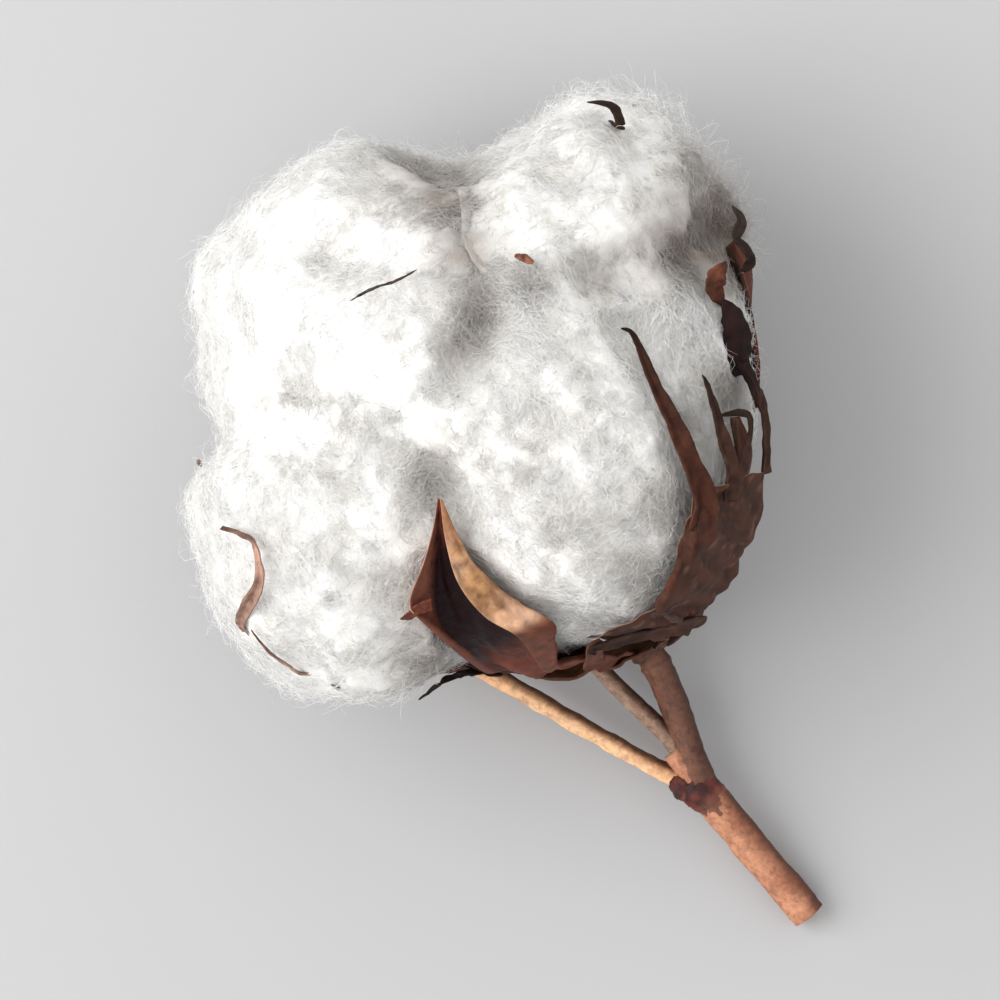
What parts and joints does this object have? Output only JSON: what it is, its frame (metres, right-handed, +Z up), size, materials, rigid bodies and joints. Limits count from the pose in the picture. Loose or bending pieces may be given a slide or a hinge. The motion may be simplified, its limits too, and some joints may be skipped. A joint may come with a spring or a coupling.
{
  "type": "cotton boll",
  "caption": "Open cotton boll lying on its side: fluffy locks of white lint bursting from a dry pointed bur with long-toothed bracts, on a short forked twig.",
  "frame": {"origin": "bottom centre of the whole object's box, on the surface that the boll lies on", "axes": "+Z up from the surface; the boll's open face points towards -X, +Y and up; the forked twig runs from its base towards +X and -Y"},
  "size_m": [0.0676, 0.0894, 0.0545],
  "materials": {
    "lint": "soft matte loose cotton fibre",
    "bur": "dry woody fruit wall, maroon-brown outside, tan inside, low sheen",
    "calyx": "dry papery calyx, dull red-brown",
    "bract": "dry leafy bract, matte brown, veined",
    "twig": "smooth dry bark, tan to red-brown, low sheen",
    "crumb": "crumbled dry leaf, matte"
  },
  "bodies": {
    "root": {"lint_lock_front": "lint", "lint_lock_right": "lint", "lint_lock_upper_right": "lint", "lint_lock_upper_left": "lint", "lint_lock_lower_left": "lint", "bur_valve_front": "bur", "bur_valve_right": "bur", "bur_valve_upper_right": "bur", "bur_valve_back": "bur", "bur_valve_left": "bur", "calyx_cup": "calyx", "bract_right": "bract", "bract_left": "bract", "bract_back": "bract", "forked_twig": "twig", "splinter": "crumb", "crumb_red": "crumb", "crumb_left": "crumb", "crumb_lower": "crumb"}
  },
  "joints": []
}
